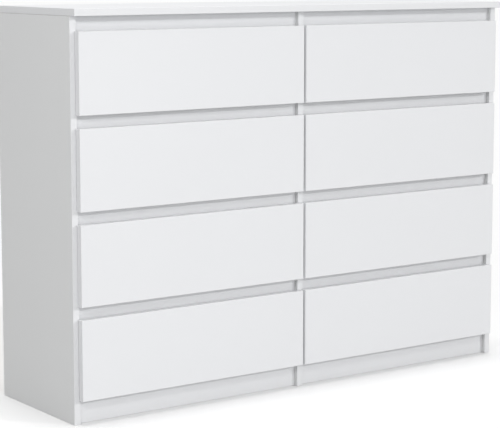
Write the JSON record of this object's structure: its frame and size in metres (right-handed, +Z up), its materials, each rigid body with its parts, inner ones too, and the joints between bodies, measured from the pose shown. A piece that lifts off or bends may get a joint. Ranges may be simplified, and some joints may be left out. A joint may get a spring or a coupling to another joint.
{
  "type": "chest of drawers",
  "caption": "Low wide white chest of handleless overlay drawers, side by side and stacked, that slide out by the gap above each front.",
  "frame": {"origin": "on the floor, under the middle of the top panel's outline", "axes": "+X to the right as seen from the front, +Y to the back (the wall), +Z up; the fronts face -Y"},
  "size_m": [1.4, 0.4, 1.03],
  "materials": {
    "carcass_laminate": "matt white laminate on board, faint fine texture",
    "front_laminate": "smooth matt to satin white laminate on board",
    "white_foil": "matt white foil on thin board",
    "white_sheet": "white printed hardboard",
    "coated_steel": "white epoxy coating on folded steel"
  },
  "bodies": {
    "carcass": {"top_panel": "carcass_laminate", "left_side_panel": "carcass_laminate", "right_side_panel": "carcass_laminate", "centre_partition": "carcass_laminate", "left_plinth": "carcass_laminate", "left_rear_plinth": "carcass_laminate", "left_rear_rail": "carcass_laminate", "left_back_sheet": "white_sheet", "left_rail_1": "carcass_laminate", "left_rail_2": "carcass_laminate", "left_rail_3": "carcass_laminate", "left_rail_4": "carcass_laminate", "left_drawer_1_runner_on_left": "coated_steel", "left_drawer_1_runner_on_right": "coated_steel", "left_drawer_2_runner_on_left": "coated_steel", "left_drawer_2_runner_on_right": "coated_steel", "left_drawer_3_runner_on_left": "coated_steel", "left_drawer_3_runner_on_right": "coated_steel", "left_drawer_4_runner_on_left": "coated_steel", "left_drawer_4_runner_on_right": "coated_steel", "right_plinth": "carcass_laminate", "right_rear_plinth": "carcass_laminate", "right_rear_rail": "carcass_laminate", "right_back_sheet": "white_sheet", "right_rail_1": "carcass_laminate", "right_rail_2": "carcass_laminate", "right_rail_3": "carcass_laminate", "right_rail_4": "carcass_laminate", "right_drawer_1_runner_on_left": "coated_steel", "right_drawer_1_runner_on_right": "coated_steel", "right_drawer_2_runner_on_left": "coated_steel", "right_drawer_2_runner_on_right": "coated_steel", "right_drawer_3_runner_on_left": "coated_steel", "right_drawer_3_runner_on_right": "coated_steel", "right_drawer_4_runner_on_left": "coated_steel", "right_drawer_4_runner_on_right": "coated_steel"},
    "left_drawer_1": {"left_drawer_1_front": "front_laminate", "left_drawer_1_wrap": "white_foil", "left_drawer_1_bottom": "white_sheet"},
    "left_drawer_2": {"left_drawer_2_front": "front_laminate", "left_drawer_2_wrap": "white_foil", "left_drawer_2_bottom": "white_sheet"},
    "left_drawer_3": {"left_drawer_3_front": "front_laminate", "left_drawer_3_wrap": "white_foil", "left_drawer_3_bottom": "white_sheet"},
    "left_drawer_4": {"left_drawer_4_front": "front_laminate", "left_drawer_4_wrap": "white_foil", "left_drawer_4_bottom": "white_sheet"},
    "right_drawer_1": {"right_drawer_1_front": "front_laminate", "right_drawer_1_wrap": "white_foil", "right_drawer_1_bottom": "white_sheet"},
    "right_drawer_2": {"right_drawer_2_front": "front_laminate", "right_drawer_2_wrap": "white_foil", "right_drawer_2_bottom": "white_sheet"},
    "right_drawer_3": {"right_drawer_3_front": "front_laminate", "right_drawer_3_wrap": "white_foil", "right_drawer_3_bottom": "white_sheet"},
    "right_drawer_4": {"right_drawer_4_front": "front_laminate", "right_drawer_4_wrap": "white_foil", "right_drawer_4_bottom": "white_sheet"}
  },
  "joints": [
    {"name": "left_drawer_1_slide", "type": "slide", "parent": "carcass", "child": "left_drawer_1", "axis": [0, -1, 0], "range_m": [0, 0.25]},
    {"name": "left_drawer_2_slide", "type": "slide", "parent": "carcass", "child": "left_drawer_2", "axis": [0, -1, 0], "range_m": [0, 0.25]},
    {"name": "left_drawer_3_slide", "type": "slide", "parent": "carcass", "child": "left_drawer_3", "axis": [0, -1, 0], "range_m": [0, 0.25]},
    {"name": "left_drawer_4_slide", "type": "slide", "parent": "carcass", "child": "left_drawer_4", "axis": [0, -1, 0], "range_m": [0, 0.25]},
    {"name": "right_drawer_1_slide", "type": "slide", "parent": "carcass", "child": "right_drawer_1", "axis": [0, -1, 0], "range_m": [0, 0.25]},
    {"name": "right_drawer_2_slide", "type": "slide", "parent": "carcass", "child": "right_drawer_2", "axis": [0, -1, 0], "range_m": [0, 0.25]},
    {"name": "right_drawer_3_slide", "type": "slide", "parent": "carcass", "child": "right_drawer_3", "axis": [0, -1, 0], "range_m": [0, 0.25]},
    {"name": "right_drawer_4_slide", "type": "slide", "parent": "carcass", "child": "right_drawer_4", "axis": [0, -1, 0], "range_m": [0, 0.25]}
  ]
}
